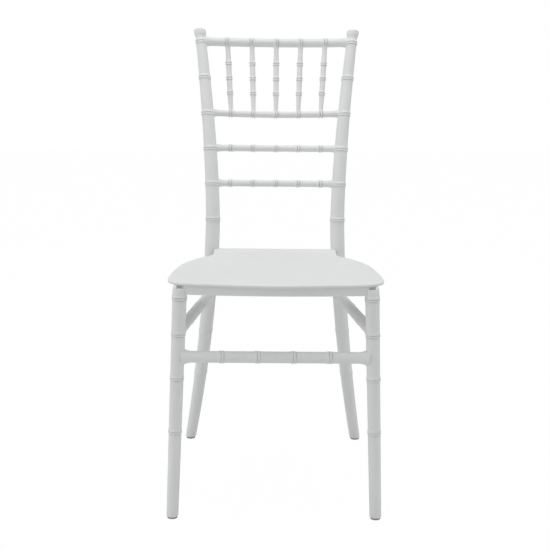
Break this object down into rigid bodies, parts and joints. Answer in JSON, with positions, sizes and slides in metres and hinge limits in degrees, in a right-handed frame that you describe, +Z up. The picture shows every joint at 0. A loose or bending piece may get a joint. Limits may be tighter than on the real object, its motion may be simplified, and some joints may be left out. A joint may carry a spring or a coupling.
{
  "type": "chiavari side chair",
  "caption": "Knock-down chiavari side chair in white moulded plastic: bamboo-turned posts, legs and rails, a spindle back and a thin moulded seat.",
  "frame": {"origin": "on the floor, under the middle of the chair's bounding box", "axes": "+Z up, +Y from the front legs towards the back rest, +X to the right when the chair is seen from the front"},
  "size_m": [0.4038, 0.5206, 0.914],
  "materials": {
    "frame_plastic": "satin",
    "seat_plastic": "satin",
    "glide_plastic": "matte"
  },
  "bodies": {
    "root": {"rear_post_left": "frame_plastic", "rear_post_right": "frame_plastic", "front_leg_left": "frame_plastic", "front_leg_right": "frame_plastic", "top_rail": "frame_plastic", "spindle_rail": "frame_plastic", "upper_cross_rail": "frame_plastic", "lower_cross_rail": "frame_plastic", "spindle_1": "frame_plastic", "spindle_2": "frame_plastic", "spindle_3": "frame_plastic", "spindle_4": "frame_plastic", "spindle_5": "frame_plastic", "front_stretcher": "frame_plastic", "side_stretcher_left": "frame_plastic", "side_stretcher_right": "frame_plastic", "seat_rail_front": "frame_plastic", "seat_rail_rear": "frame_plastic", "seat_rail_left": "frame_plastic", "seat_rail_right": "frame_plastic", "seat_shell": "seat_plastic", "foot_glides": "glide_plastic"}
  },
  "joints": []
}
